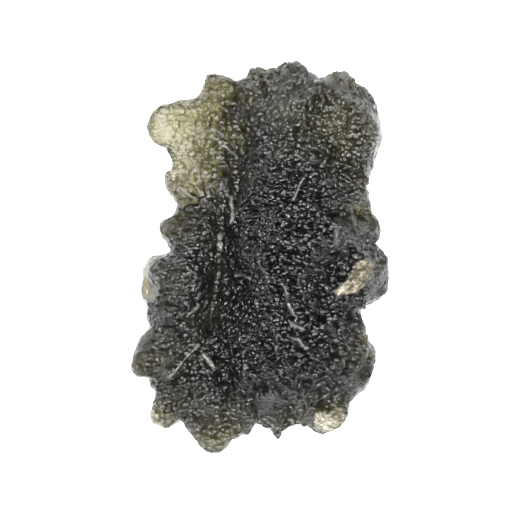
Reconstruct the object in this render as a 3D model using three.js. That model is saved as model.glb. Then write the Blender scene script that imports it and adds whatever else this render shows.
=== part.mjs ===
// Moldavite: one natural piece of green impact glass, deeply etched, lying on its back with the
// sculpted face up. All sizes are in millimetres. Z is up and the stone is longest along Y.
// It is a single solid: lumps and rim lobes that run into one another, cut by a valley and by
// furrows, and pitted all over by etching.

import * as THREE from 'three';
import { ImprovedNoise } from 'three/addons/math/ImprovedNoise.js';
import { triTable } from 'three/addons/objects/MarchingCubes.js';

// ---------- Driving sizes ----------

// Spacing of the points at which the form is sampled.
const GRID_STEP = 0.85;
// The space that is sampled, a little larger than the stone on every side.
const REACH_X = 15.5;
const REACH_Y = 22;
const LOWEST = -2.6;
const HIGHEST = 14.2;

// How softly the masses run together, how softly the lobes of the rim leave them, and how
// softly a furrow's edge is rounded.
const MASS_BLEND = 1.7;
const LOBE_BLEND = 0.8;
const FURROW_BLEND = 0.6;

// A furrow's section, over 1 where it is wider than deep and under 1 where it is deeper than wide.
const FURROW_SQUASH = 0.8;

// Etched relief: cups with crests between them, and waves of two sizes.
const CUP_SPACING = 2.35;
const CUP_HEIGHT = 1.2;
// Below this level a cup cuts into the plain form and above it the crest stands out from it.
// It is measured from the floor of the cup, in squares of the spacing.
const CUP_MIDDLE = 0.1;
// How softly two cups run together at the crest between them, in squares of the spacing.
const CREST_BLEND = 0.24;
// How many cells around a point are looked through for its nearest cup.
const CUP_SEARCH = 1;
// How far the cups are drawn out along X and Y: on the ribs of the left half, and elsewhere.
const RIB_CUP_STRETCH = [1.9, 0.85];
const BACK_CUP_STRETCH = [1.15, 0.9];
// Where the ribs of the left half begin, and over what width they take over.
const RIBS_START_X = -2.5;
const RIBS_FADE = 2.5;
const SMALL_WAVE_SPACING = 2.6;
const SMALL_WAVE_HEIGHT = 0.55;
const BROAD_WAVE_SPACING = 5.2;
const BROAD_WAVE_HEIGHT = 0.8;

// The relief is left out farther than this from the plain form, where it cannot reach.
const RELIEF_REACH = 2.5;

// How often each sample is evened with its neighbours, and how far each time.
const SOFTEN_ROUNDS = 2;
const SOFTEN_SHARE = 0.36;
// How close to a sample a point of the skin may lie, as a share of the grid step.
const CLOSEST_TO_SAMPLE = 0.1;
// How often the skin is smoothed, and by what shares of the way to the middle of the neighbours.
const SMOOTH_ROUNDS = 5;
const DRAW_IN_SHARE = 0.5;
const PUSH_OUT_SHARE = 0.53;

// ---------- The masses of the stone ----------
// Each row: inner end, outer end, radius at each end, and a squash that is over 1 for a
// thin sheet and under 1 for a lump that is taller than it is wide.

const MASSES = [
  // The thick raised back, down the right of the middle.
  { from: [3.0, 13.2, 6.3], to: [3.0, 1.5, 6.8], radius: [4.2, 4.7], squash: 1.0 },
  { from: [3.0, 1.5, 6.8], to: [1.8, -9.6, 6.2], radius: [4.7, 4.3], squash: 1.0 },
  { from: [0.2, -8.0, 5.4], to: [1.2, -13.4, 4.8], radius: [3.9, 2.9], squash: 1.0 },
  // Its right flank.
  { from: [8.2, 13.6, 5.3], to: [7.4, 3.0, 5.7], radius: [3.3, 3.4], squash: 0.92 },
  { from: [7.4, 3.0, 5.7], to: [7.4, -3.0, 5.4], radius: [3.4, 3.1], squash: 0.92 },
  { from: [6.8, -4.0, 5.3], to: [6.4, -11.6, 5.0], radius: [2.8, 3.4], squash: 0.92 },
  // The belly that joins the two halves under the valley.
  { from: [-1.6, 13.4, 4.9], to: [-1.4, 8.0, 4.5], radius: [2.7, 3.3], squash: 1.15 },
  { from: [-1.4, 8.0, 4.5], to: [-1.8, -9.6, 4.1], radius: [3.3, 3.5], squash: 1.2 },
  { from: [-3.4, 7.6, 3.7], to: [-4.3, -7.0, 3.4], radius: [2.6, 3.1], squash: 1.1 },
  // The lower left, with the ribs that fan out from the valley.
  { from: [-7.0, -1.2, 4.6], to: [-8.0, -10.6, 4.2], radius: [3.0, 3.3], squash: 1.0 },
  { from: [-6.6, -9.4, 4.3], to: [-5.2, -14.4, 4.1], radius: [3.3, 2.8], squash: 1.0 },
  { from: [-5.2, 3.8, 4.7], to: [-8.2, 3.2, 4.7], radius: [2.5, 1.8], squash: 0.95 },
  // The thin pale sheet at the upper left, held clear of the ground.
  { from: [-7.6, 13.2, 5.6], to: [-6.2, 9.0, 5.4], radius: [2.8, 2.8], squash: 4.2 },
  { from: [-6.6, 14.0, 5.6], to: [-3.4, 14.8, 5.6], radius: [2.0, 2.4], squash: 2.6 },
  { from: [-3.2, 14.0, 5.3], to: [-3.6, 8.0, 5.0], radius: [1.9, 1.9], squash: 1.7 },
];

// The lobes of the rim, each running out from the masses to its own tip.
const RIM_LOBES = [
  // Upper left, clockwise.
  { from: [-8.2, 13.4, 5.6], to: [-9.5, 13.8, 5.7], radius: [2.3, 1.95], squash: 2.8 },
  { from: [-8.0, 12.8, 5.6], to: [-9.8, 12.8, 5.6], radius: [1.8, 1.4], squash: 2.6 },
  { from: [-8.0, 14.4, 5.6], to: [-8.4, 15.7, 5.7], radius: [1.3, 1.0], squash: 1.9 },
  { from: [-6.6, 14.4, 5.5], to: [-6.5, 15.5, 5.4], radius: [1.3, 1.0], squash: 1.7 },
  { from: [-4.4, 15.4, 5.6], to: [-4.7, 17.3, 6.0], radius: [1.7, 1.0], squash: 1.0 },
  { from: [-4.7, 17.3, 6.0], to: [-3.9, 17.4, 6.0], radius: [1.0, 0.95], squash: 0.9 },
  // Top.
  { from: [-1.6, 14.4, 6.0], to: [-2.4, 16.5, 5.4], radius: [1.9, 0.9], squash: 0.9 },
  { from: [-0.2, 15.0, 6.3], to: [-0.2, 18.4, 6.2], radius: [2.0, 0.95], squash: 0.8 },
  { from: [1.4, 15.5, 6.0], to: [1.4, 18.1, 4.8], radius: [2.0, 1.1], squash: 0.8 },
  { from: [2.8, 15.5, 6.6], to: [3.0, 18.6, 6.6], radius: [2.2, 1.15], squash: 0.75 },
  { from: [4.6, 15.0, 6.0], to: [4.8, 17.9, 5.2], radius: [2.4, 1.3], squash: 0.8 },
  { from: [6.4, 14.8, 5.8], to: [7.2, 17.3, 6.0], radius: [2.4, 1.3], squash: 0.75 },
  { from: [7.8, 15.0, 5.6], to: [8.6, 17.9, 5.4], radius: [2.2, 1.05], squash: 0.8 },
  // Right side, going down.
  { from: [8.8, 14.4, 5.6], to: [10.5, 16.3, 5.2], radius: [2.2, 1.3], squash: 0.75 },
  { from: [10.3, 14.6, 5.4], to: [10.6, 12.8, 5.0], radius: [1.4, 1.35], squash: 0.6 },
  { from: [9.0, 11.0, 5.4], to: [10.3, 10.2, 4.8], radius: [2.2, 1.2], squash: 0.7 },
  { from: [9.2, 8.4, 5.4], to: [9.8, 7.8, 5.6], radius: [1.8, 1.0], squash: 0.7 },
  { from: [8.6, 5.6, 5.6], to: [9.9, 5.6, 4.8], radius: [2.2, 0.9], squash: 0.7 },
  { from: [9.0, 3.4, 5.6], to: [11.2, 3.4, 5.4], radius: [1.9, 1.0], squash: 0.75 },
  { from: [9.0, 0.0, 5.8], to: [11.6, -0.2, 5.4], radius: [2.3, 1.25], squash: 0.75 },
  { from: [9.4, -1.6, 5.8], to: [11.5, -1.9, 5.2], radius: [2.3, 1.6], squash: 0.7 },
  { from: [7.8, -5.0, 5.4], to: [8.5, -5.3, 5.0], radius: [1.7, 0.85], squash: 0.7 },
  { from: [8.0, -7.8, 5.4], to: [9.7, -7.9, 5.8], radius: [1.8, 1.05], squash: 0.7 },
  { from: [8.8, -9.2, 5.0], to: [10.5, -9.6, 4.8], radius: [2.3, 1.25], squash: 0.7 },
  { from: [8.0, -11.6, 5.0], to: [9.6, -11.9, 5.0], radius: [2.4, 1.15], squash: 0.7 },
  { from: [7.0, -12.6, 4.8], to: [7.9, -13.2, 4.4], radius: [2.2, 0.9], squash: 0.75 },
  // Bottom, going left.
  { from: [6.4, -13.6, 5.0], to: [6.8, -15.8, 5.2], radius: [2.4, 1.5], squash: 0.8 },
  { from: [5.4, -13.8, 4.8], to: [5.5, -17.1, 4.6], radius: [2.0, 1.15], squash: 0.8 },
  { from: [3.4, -13.0, 5.0], to: [3.5, -16.3, 4.8], radius: [2.2, 1.1], squash: 0.8 },
  { from: [1.0, -14.0, 5.6], to: [1.75, -17.8, 5.4], radius: [1.8, 0.85], squash: 0.9 },
  { from: [0.0, -13.4, 5.0], to: [0.2, -16.1, 4.8], radius: [1.8, 0.9], squash: 0.9 },
  { from: [-1.6, -13.4, 4.8], to: [-1.5, -17.2, 4.8], radius: [2.0, 0.95], squash: 0.9 },
  { from: [-2.4, -14.4, 4.6], to: [-2.8, -17.4, 4.4], radius: [1.9, 0.95], squash: 0.95 },
  { from: [-4.4, -15.0, 4.4], to: [-4.6, -18.2, 4.2], radius: [2.2, 1.6], squash: 1.15 },
  { from: [-6.0, -14.6, 4.4], to: [-6.7, -17.7, 4.6], radius: [1.9, 1.2], squash: 1.3 },
  // Left side, going up.
  { from: [-7.8, -13.4, 4.3], to: [-9.4, -15.6, 4.1], radius: [2.4, 1.4], squash: 1.0 },
  { from: [-8.4, -12.0, 4.4], to: [-10.4, -13.1, 4.5], radius: [2.2, 1.25], squash: 0.9 },
  { from: [-8.8, -10.6, 4.5], to: [-11.8, -10.6, 4.3], radius: [2.4, 1.6], squash: 0.85 },
  { from: [-8.6, -8.6, 4.6], to: [-11.2, -8.7, 4.6], radius: [2.2, 1.35], squash: 0.85 },
  { from: [-8.2, -5.2, 5.0], to: [-10.8, -5.7, 4.8], radius: [2.4, 1.25], squash: 0.8 },
  { from: [-8.2, -1.8, 5.4], to: [-10.1, -1.2, 5.8], radius: [2.5, 1.3], squash: 0.9 },
  { from: [-9.2, -1.0, 3.5], to: [-10.9, -1.1, 3.1], radius: [1.9, 1.4], squash: 1.8 },
  { from: [-9.2, -3.0, 3.4], to: [-11.0, -3.3, 3.0], radius: [1.8, 1.6], squash: 1.8 },
  { from: [-6.4, 3.2, 4.7], to: [-9.3, 2.8, 4.6], radius: [2.3, 1.3], squash: 0.85 },
  { from: [-5.6, 5.4, 4.8], to: [-7.6, 5.9, 4.8], radius: [1.8, 1.2], squash: 1.1 },
  { from: [-6.6, 7.4, 5.1], to: [-8.8, 7.7, 5.0], radius: [2.0, 1.45], squash: 1.6 },
  { from: [-7.0, 10.4, 5.3], to: [-8.2, 10.4, 5.3], radius: [1.8, 1.2], squash: 2.4 },
];

// Broad lumps of the underside. The lowest of them carry the stone.
const UNDER_LUMPS = [
  { at: [7.0, 12.2, 3.55], radius: 3.9 },
  { at: [1.6, 14.0, 3.9], radius: 3.8 },
  { at: [8.0, 1.4, 3.2], radius: 3.5 },
  { at: [7.0, -9.2, 3.75], radius: 4.0 },
  { at: [1.4, -11.6, 3.45], radius: 3.7 },
  { at: [-7.2, -10.8, 3.45], radius: 3.7 },
  { at: [-6.4, -1.8, 3.1], radius: 3.4 },
  { at: [1.4, 3.0, 4.1], radius: 4.1 },
];

// ---------- Furrows cut into the sculpted face ----------
// Each row is the line that the furrow follows and its radius at the start and at the end.

const FURROWS = [
  // The valley between the back and the left half, and its two branches.
  { path: [[-2.9, 13.0, 8.0], [-3.1, 8.0, 7.9], [-3.9, 2.0, 7.6], [-4.5, -4.0, 7.7]], radius: [0.9, 1.5] },
  { path: [[-4.5, -4.0, 7.7], [-5.4, -8.0, 7.4], [-8.6, -12.2, 8.3]], radius: [1.5, 1.0] },
  { path: [[-5.0, -7.0, 7.6], [-3.6, -11.0, 7.6], [-3.0, -15.6, 7.0]], radius: [1.2, 0.8] },
  // The groove that opens between the back and the lower bulge.
  { path: [[1.2, 0.6, 12.2], [2.4, -2.6, 11.4], [3.8, -6.4, 10.9]], radius: [0.9, 1.0] },
  { path: [[3.8, -6.4, 10.9], [7.4, -5.2, 9.6], [10.0, -4.6, 8.4]], radius: [1.0, 1.2] },
  // The step below the granular top of the stone.
  { path: [[0.4, 11.0, 11.6], [4.4, 8.6, 12.0], [8.6, 8.8, 10.4]], radius: [0.9, 0.9] },
  // Furrows between the ribs of the left half.
  { path: [[-4.4, 0.4, 8.6], [-7.2, 0.6, 8.6], [-10.2, 1.2, 7.0]], radius: [0.8, 0.9] },
  { path: [[-4.8, -2.6, 8.8], [-7.6, -3.8, 8.8], [-10.6, -4.3, 7.2]], radius: [0.7, 0.9] },
  { path: [[-5.2, -5.6, 8.4], [-8.2, -6.8, 8.4], [-11.0, -7.0, 7.2]], radius: [0.7, 0.9] },
  { path: [[-3.8, 5.8, 8.2], [-6.4, 5.6, 7.8], [-8.6, 5.4, 7.2]], radius: [0.8, 0.9] },
  // Furrows between the ribs of the foot and of the right flank.
  { path: [[-0.4, -9.6, 10.6], [-0.3, -13.4, 8.8], [-0.4, -16.4, 6.8]], radius: [0.7, 0.8] },
  { path: [[2.6, -9.8, 10.9], [2.5, -13.6, 8.9], [2.6, -16.4, 7.0]], radius: [0.7, 0.7] },
  { path: [[6.0, -9.0, 10.4], [7.6, -12.2, 9.2], [9.0, -14.4, 7.4]], radius: [0.7, 0.9] },
  { path: [[7.6, 4.6, 10.2], [9.6, 4.4, 9.2], [11.2, 4.2, 7.8]], radius: [0.7, 0.8] },
  { path: [[7.6, 1.8, 10.2], [9.8, 1.8, 9.2], [12.0, 1.7, 7.4]], radius: [0.7, 0.7] },
  { path: [[5.2, 12.4, 10.6], [5.6, 15.4, 9.8], [5.9, 18.2, 8.0]], radius: [0.7, 0.8] },
  { path: [[0.6, 12.6, 10.8], [0.5, 15.8, 9.6], [0.6, 18.8, 7.8]], radius: [0.6, 0.6] },
];

// ---------- Small helpers ----------

const noise = new ImprovedNoise();

// A value that no depth in the sampled space reaches.
const FAR_OUTSIDE = 99;

// Unrelated factors that scatter the cup middles from cell to cell.
const SCATTER_I = 127.1;
const SCATTER_J = 311.7;
const SCATTER_K = 74.7;
const SCATTER_CHANNEL = 53.3;
const SCATTER_GAIN = 43758.5453;

function clamp(value, low, high) {
  return Math.min(Math.max(value, low), high);
}

function blend(a, b, share) {
  return a + (b - a) * share;
}

// The smaller of two depths, rounded where they meet.
function softMin(a, b, width) {
  const share = clamp(0.5 + (0.5 * (b - a)) / width, 0, 1);
  return blend(b, a, share) - width * share * (1 - share);
}

function softMax(a, b, width) {
  return -softMin(-a, -b, width);
}

// A repeatable value from 0 to 1 for a cell and a channel.
function cellValue(i, j, k, channel) {
  const angle = i * SCATTER_I + j * SCATTER_J + k * SCATTER_K + channel * SCATTER_CHANNEL;
  const mixed = Math.sin(angle) * SCATTER_GAIN;
  return mixed - Math.floor(mixed);
}

// Distance from a point to a tapered bar with round ends, with heights multiplied by squash.
function taperedBar(x, y, z, from, to, radius, squash) {
  const barX = to[0] - from[0];
  const barY = to[1] - from[1];
  const barZ = (to[2] - from[2]) * squash;
  const offX = x - from[0];
  const offY = y - from[1];
  const offZ = (z - from[2]) * squash;
  const along = offX * barX + offY * barY + offZ * barZ;
  const share = clamp(along / (barX * barX + barY * barY + barZ * barZ), 0, 1);
  const gapX = offX - barX * share;
  const gapY = offY - barY * share;
  const gapZ = offZ - barZ * share;
  return Math.hypot(gapX, gapY, gapZ) - blend(radius[0], radius[1], share);
}

// ---------- The form ----------

// Etched cups: low in the middle of each cell, with a crest where two cells meet.
function cups(x, y, z) {
  const baseI = Math.floor(x);
  const baseJ = Math.floor(y);
  const baseK = Math.floor(z);
  let nearest = 1;
  for (let i = baseI - CUP_SEARCH; i <= baseI + CUP_SEARCH; i += 1) {
    for (let j = baseJ - CUP_SEARCH; j <= baseJ + CUP_SEARCH; j += 1) {
      for (let k = baseK - CUP_SEARCH; k <= baseK + CUP_SEARCH; k += 1) {
        const cupX = i + cellValue(i, j, k, 1) - x;
        const cupY = j + cellValue(i, j, k, 2) - y;
        const cupZ = k + cellValue(i, j, k, 3) - z;
        nearest = softMin(nearest, cupX * cupX + cupY * cupY + cupZ * cupZ, CREST_BLEND);
      }
    }
  }
  return nearest - CUP_MIDDLE;
}

function stretchedCups(x, y, z, stretch) {
  return cups(x / (stretch[0] * CUP_SPACING), y / (stretch[1] * CUP_SPACING), z / CUP_SPACING);
}

function wave(x, y, z, spacing) {
  return noise.noise(x / spacing, y / spacing, z / spacing);
}

// How far the etched skin stands out at a point.
function relief(x, y, z) {
  // On the left half the cups are drawn out along the ribs, elsewhere they are rounder.
  const leftShare = clamp((RIBS_START_X - x) / RIBS_FADE, 0, 1);
  const drawnOut = leftShare > 0 ? stretchedCups(x, y, z, RIB_CUP_STRETCH) : 0;
  const rounded = leftShare < 1 ? stretchedCups(x, y, z, BACK_CUP_STRETCH) : 0;
  const small = wave(x, y, z, SMALL_WAVE_SPACING) * SMALL_WAVE_HEIGHT;
  const broad = wave(y, z, x, BROAD_WAVE_SPACING) * BROAD_WAVE_HEIGHT;
  return CUP_HEIGHT * blend(rounded, drawnOut, leftShare) + small + broad;
}

// Under zero inside the stone, over zero outside it.
function depth(x, y, z) {
  let form = FAR_OUTSIDE;
  for (const mass of MASSES) {
    const bar = taperedBar(x, y, z, mass.from, mass.to, mass.radius, mass.squash);
    form = softMin(form, bar, MASS_BLEND);
  }
  for (const lump of UNDER_LUMPS) {
    const ball = Math.hypot(x - lump.at[0], y - lump.at[1], z - lump.at[2]) - lump.radius;
    form = softMin(form, ball, MASS_BLEND);
  }
  for (const lobe of RIM_LOBES) {
    const bar = taperedBar(x, y, z, lobe.from, lobe.to, lobe.radius, lobe.squash);
    form = softMin(form, bar, LOBE_BLEND);
  }
  for (const furrow of FURROWS) {
    const count = furrow.path.length - 1;
    let cut = FAR_OUTSIDE;
    for (let part = 0; part < count; part += 1) {
      const start = blend(furrow.radius[0], furrow.radius[1], part / count);
      const end = blend(furrow.radius[0], furrow.radius[1], (part + 1) / count);
      const from = furrow.path[part];
      const to = furrow.path[part + 1];
      cut = Math.min(cut, taperedBar(x, y, z, from, to, [start, end], FURROW_SQUASH));
    }
    form = softMax(form, -cut, FURROW_BLEND);
  }
  if (Math.abs(form) > RELIEF_REACH) {
    return form;
  }
  return form - relief(x, y, z);
}

// ---------- From the form to a closed skin ----------

// The eight corners of a sampling cell and the two corners that each of its edges joins.
const CORNERS = [
  [0, 0, 0], [1, 0, 0], [1, 1, 0], [0, 1, 0],
  [0, 0, 1], [1, 0, 1], [1, 1, 1], [0, 1, 1],
];
const EDGES = [
  [0, 1], [1, 2], [2, 3], [3, 0], [4, 5], [5, 6],
  [6, 7], [7, 4], [0, 4], [1, 5], [2, 6], [3, 7],
];

const COUNT_X = Math.ceil((2 * REACH_X) / GRID_STEP);
const COUNT_Y = Math.ceil((2 * REACH_Y) / GRID_STEP);
const COUNT_Z = Math.ceil((HIGHEST - LOWEST) / GRID_STEP);

function sampleIndex(i, j, k) {
  return (k * (COUNT_Y + 1) + j) * (COUNT_X + 1) + i;
}

function samplePlace(i, j, k) {
  return [-REACH_X + i * GRID_STEP, -REACH_Y + j * GRID_STEP, LOWEST + k * GRID_STEP];
}

function sampleForm() {
  const values = new Float64Array((COUNT_X + 1) * (COUNT_Y + 1) * (COUNT_Z + 1));
  for (let k = 0; k <= COUNT_Z; k += 1) {
    for (let j = 0; j <= COUNT_Y; j += 1) {
      for (let i = 0; i <= COUNT_X; i += 1) {
        values[sampleIndex(i, j, k)] = depth(...samplePlace(i, j, k));
      }
    }
  }
  return values;
}

// Rounds off what is finer than the samples can carry, by mixing in the six neighbours.
function softenOnce(values) {
  const softened = values.slice();
  for (let k = 1; k < COUNT_Z; k += 1) {
    for (let j = 1; j < COUNT_Y; j += 1) {
      for (let i = 1; i < COUNT_X; i += 1) {
        const acrossX = values[sampleIndex(i - 1, j, k)] + values[sampleIndex(i + 1, j, k)];
        const acrossY = values[sampleIndex(i, j - 1, k)] + values[sampleIndex(i, j + 1, k)];
        const acrossZ = values[sampleIndex(i, j, k - 1)] + values[sampleIndex(i, j, k + 1)];
        const around = (acrossX + acrossY + acrossZ) / 6;
        const index = sampleIndex(i, j, k);
        softened[index] = blend(values[index], around, SOFTEN_SHARE);
      }
    }
  }
  return softened;
}

function soften(values) {
  let softened = values;
  for (let round = 0; round < SOFTEN_ROUNDS; round += 1) {
    softened = softenOnce(softened);
  }
  return softened;
}

// Marching cubes: the triangles of each cell that the skin passes through.
function skinOf(values) {
  const points = [];
  const pointOfEdge = new Map();
  const triangles = [];

  function pointOn(i, j, k, edge) {
    const [a, b] = EDGES[edge].map((corner) => CORNERS[corner]);
    const indexA = sampleIndex(i + a[0], j + a[1], k + a[2]);
    const indexB = sampleIndex(i + b[0], j + b[1], k + b[2]);
    const name = indexA < indexB ? `${indexA},${indexB}` : `${indexB},${indexA}`;
    if (!pointOfEdge.has(name)) {
      const crossing = values[indexA] / (values[indexA] - values[indexB]);
      const share = clamp(crossing, CLOSEST_TO_SAMPLE, 1 - CLOSEST_TO_SAMPLE);
      const start = new THREE.Vector3(...samplePlace(i + a[0], j + a[1], k + a[2]));
      const end = new THREE.Vector3(...samplePlace(i + b[0], j + b[1], k + b[2]));
      pointOfEdge.set(name, points.length);
      points.push(start.lerp(end, share));
    }
    return pointOfEdge.get(name);
  }

  for (let k = 0; k < COUNT_Z; k += 1) {
    for (let j = 0; j < COUNT_Y; j += 1) {
      for (let i = 0; i < COUNT_X; i += 1) {
        let outside = 0;
        CORNERS.forEach((corner, bit) => {
          if (values[sampleIndex(i + corner[0], j + corner[1], k + corner[2])] > 0) {
            outside += 2 ** bit;
          }
        });
        for (let entry = outside * 16; triTable[entry] !== -1; entry += 3) {
          const first = pointOn(i, j, k, triTable[entry]);
          const second = pointOn(i, j, k, triTable[entry + 1]);
          const third = pointOn(i, j, k, triTable[entry + 2]);
          triangles.push([first, second, third]);
        }
      }
    }
  }
  return { points, triangles };
}

// Keeps the largest connected body, so that no crumb of the relief floats beside the stone.
function largestBody(points, triangles) {
  const parent = points.map((_, index) => index);
  function root(index) {
    let found = index;
    while (parent[found] !== found) {
      parent[found] = parent[parent[found]];
      found = parent[found];
    }
    return found;
  }
  for (const [a, b, c] of triangles) {
    parent[root(a)] = root(b);
    parent[root(b)] = root(c);
  }
  const sizes = new Map();
  for (const [a] of triangles) {
    sizes.set(root(a), (sizes.get(root(a)) ?? 0) + 1);
  }
  const largest = [...sizes].sort((one, other) => other[1] - one[1])[0][0];
  return triangles.filter(([a]) => root(a) === largest);
}

// Evens out the skin: each round draws every point towards the middle of its neighbours and then
// pushes it back out by slightly more, which takes away the creases and keeps the size.
function smooth(points, triangles) {
  const neighbours = points.map(() => new Set());
  for (const [a, b, c] of triangles) {
    neighbours[a].add(b).add(c);
    neighbours[b].add(a).add(c);
    neighbours[c].add(a).add(b);
  }
  let smoothed = points;
  for (let round = 0; round < SMOOTH_ROUNDS; round += 1) {
    for (const share of [DRAW_IN_SHARE, -PUSH_OUT_SHARE]) {
      const before = smoothed;
      smoothed = before.map((point, index) => {
        const around = [...neighbours[index]];
        if (around.length === 0) {
          return point;
        }
        const middle = new THREE.Vector3();
        around.forEach((other) => middle.add(before[other]));
        middle.divideScalar(around.length);
        return point.clone().lerp(middle, share);
      });
    }
  }
  return smoothed;
}

function buildStone() {
  const values = soften(sampleForm());
  const skin = skinOf(values);
  const body = largestBody(skin.points, skin.triangles);
  const points = smooth(skin.points, body);

  // The lowest lumps are worn flat where they touch the ground.
  for (const point of points) {
    point.z = Math.max(point.z, 0);
  }

  const used = new Map();
  const positions = [];
  const indices = [];
  for (const triangle of body) {
    for (const corner of triangle) {
      if (!used.has(corner)) {
        used.set(corner, used.size);
        positions.push(...points[corner].toArray());
      }
      indices.push(used.get(corner));
    }
  }

  const geometry = new THREE.BufferGeometry();
  geometry.setAttribute('position', new THREE.Float32BufferAttribute(positions, 3));
  geometry.setIndex(indices);

  // The origin is the middle of the stone's length and width, at the ground.
  geometry.computeBoundingBox();
  const middle = geometry.boundingBox.getCenter(new THREE.Vector3());
  geometry.translate(-middle.x, -middle.y, 0);
  geometry.computeVertexNormals();
  return geometry;
}

// ---------- The part ----------

const glass = new THREE.MeshStandardMaterial({ color: 0x2f3122, roughness: 0.28, metalness: 0 });

const stone = new THREE.Mesh(buildStone(), glass);
stone.name = 'moldavite';

const part = new THREE.Group();
part.name = 'moldavite_specimen';
part.add(stone);

export default part;
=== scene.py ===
"""Moldavite: a raw piece of green impact glass, lying on its back on a pale studio floor.

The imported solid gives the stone's masses, lobes and valley. Here it is sampled as a level set, its
etched skin is carved into that, and the result is meshed again as one closed glass body.
Sizes named *_MM are millimetres. Blender's own units are metres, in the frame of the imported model.
"""

import math

import bpy
import numpy as np
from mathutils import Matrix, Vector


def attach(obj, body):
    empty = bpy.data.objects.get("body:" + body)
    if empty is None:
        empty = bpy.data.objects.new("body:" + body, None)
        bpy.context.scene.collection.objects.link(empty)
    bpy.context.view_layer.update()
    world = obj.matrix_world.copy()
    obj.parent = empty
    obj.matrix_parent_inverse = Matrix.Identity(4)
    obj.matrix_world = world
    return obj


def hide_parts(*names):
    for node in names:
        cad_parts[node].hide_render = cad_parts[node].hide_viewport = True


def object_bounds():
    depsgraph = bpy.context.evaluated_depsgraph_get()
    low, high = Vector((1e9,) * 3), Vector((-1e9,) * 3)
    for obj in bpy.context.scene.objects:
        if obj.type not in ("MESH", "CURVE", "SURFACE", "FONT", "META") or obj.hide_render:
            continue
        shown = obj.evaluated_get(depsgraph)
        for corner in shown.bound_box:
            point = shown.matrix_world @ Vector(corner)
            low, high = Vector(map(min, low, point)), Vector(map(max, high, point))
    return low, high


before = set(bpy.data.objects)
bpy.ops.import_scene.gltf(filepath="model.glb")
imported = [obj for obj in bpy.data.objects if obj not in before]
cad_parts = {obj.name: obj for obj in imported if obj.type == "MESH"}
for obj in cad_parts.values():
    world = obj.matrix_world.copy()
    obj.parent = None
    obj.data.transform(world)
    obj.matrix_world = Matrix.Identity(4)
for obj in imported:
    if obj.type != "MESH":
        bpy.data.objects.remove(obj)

import openvdb
from mathutils import Vector

cad_low, cad_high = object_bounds()

MM = 0.001

# ---------- Driving sizes ----------

# Sampling of the form, and how much of the finest mesh is kept.
VOXEL_MM = 0.115
BAND_MM = 1.4
RELIEF_REACH_MM = 0.85
MOST_TRIANGLES = 196000
# Grid cells around the solid, and over which the skin's slope is taken to each side.
MARGIN_CELLS, SLOPE_CELLS = 4, 2

# Etched relief, each with its spacing and its height.
LUMP_SPACING_MM, LUMP_HEIGHT_MM = 3.0, 0.18
CUP_SPACING_MM, CUP_HEIGHT_MM, CUP_STRETCH, CUP_LEVEL = 1.5, 0.52, 0.7, 0.3
FURROW_SPACING_MM, FURROW_LENGTH_MM, FURROW_HEIGHT_MM = 0.62, 2.2, 0.34
BEAD_SPACING_MM, BEAD_HEIGHT_MM, BEAD_STRETCH = 0.80, 0.42, 0.62
# Over what share of the spacing a bead rises from the grooves around it.
BEAD_REACH = 0.62
# The furrows are noise that is summed in steps along the flow, and brought back to its range.
FURROW_STEPS, FURROW_GAIN = 9, 1.5
# How far the places are moved about, so that cups, furrows and beads don't form a pattern.
WARP_SPACING_MM, WARP_MM, FURROW_WARP, BEAD_WARP = 1.1, 0.3, 0.4, 0.5
# From this line in plan to the right, the skin turns from thin furrow walls to broad, beaded rows.
BEADED_FROM_X, BEADED_OVER_MM = -2.5, 2.0
# Above this line the beads aren't in rows.
ROWED_BELOW_Y, ROWED_OVER_MM = 11.5, 2.0
# How narrow and how sharp the thin walls are, and the level that they are counted from.
WALL_NARROWNESS, WALL_SHARPNESS, WALL_LEVEL = 1.7, 1.4, 0.35
# How clearly the rows part, their height elsewhere, and how much more it is where they are rowed.
ROW_CONTRAST, ROW_LEAST, ROW_MORE = 0.9, 0.3, 0.9
# The beads' height on the left half, how much more it is on the back, and how much less on rows.
BEAD_LEAST, BEAD_MORE, BEAD_LESS = 0.5, 0.9, 0.5

# The direction of the furrows in plan, as x, y in millimetres and an angle in degrees.
FLOW = [
    # The valley and the back's left edge.
    (-3.0, 13.0, 85), (-3.0, 8.0, 92), (-3.0, 4.0, 90), (-4.2, -1.0, 85), (-4.6, -5.0, 80),
    # The thin pale sheet.
    (-4.6, 11.6, -42), (-7.0, 13.5, 70), (-9.8, 13.8, 20), (-6.0, 9.0, 120), (-8.6, 7.6, 10),
    (-4.6, 16.6, 95),
    # The ribs of the left half fan out from the valley.
    (-8.0, 3.2, 172), (-8.2, -0.8, 178), (-8.2, -3.6, 200), (-8.4, -6.6, 213), (-8.2, -10.0, 227),
    (-10.8, -10.6, 190), (-8.4, -13.6, 238), (-5.6, -12.6, 250), (-4.6, -17.0, 265),
    # The foot.
    (-2.4, -12.0, 300), (-1.6, -16.0, 262), (0.4, -13.6, 278), (1.6, -16.6, 286), (4.0, -16.0, 265),
    # The lower bulge.
    (-2.0, -2.0, -8), (0.4, -1.6, -55), (2.8, -4.2, -68), (-2.2, -7.4, -40), (1.5, -8.0, -90),
    (3.8, -7.8, -38), (5.6, -11.6, 12), (8.0, -13.0, 30), (2.4, -11.2, -12),
    # The plateau.
    (1.0, 3.0, 8), (4.0, 2.6, 4), (1.0, 6.8, -6), (5.6, 6.6, 14), (3.6, 9.8, -12), (1.4, 11.4, 10),
    # The granular top.
    (4.0, 14.0, 70), (0.2, 16.6, 88), (7.6, 15.6, 62), (10.8, 13.0, 84),
    # The right flank.
    (9.6, 8.4, 80), (10.4, 4.4, -20), (8.4, 1.4, -30), (11.6, 0.6, 70), (10.6, -2.4, 42),
    (7.8, -4.8, -25), (9.6, -7.4, -30), (10.2, -10.4, 70),
]
FLOW_REACH_MM = 1.9
# How steeply the furrows run down the stone's sides.
FLOW_FALL = 0.9
# How soon the skin counts as facing up, as it turns from the side.
FACING_GAIN = 3

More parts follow.
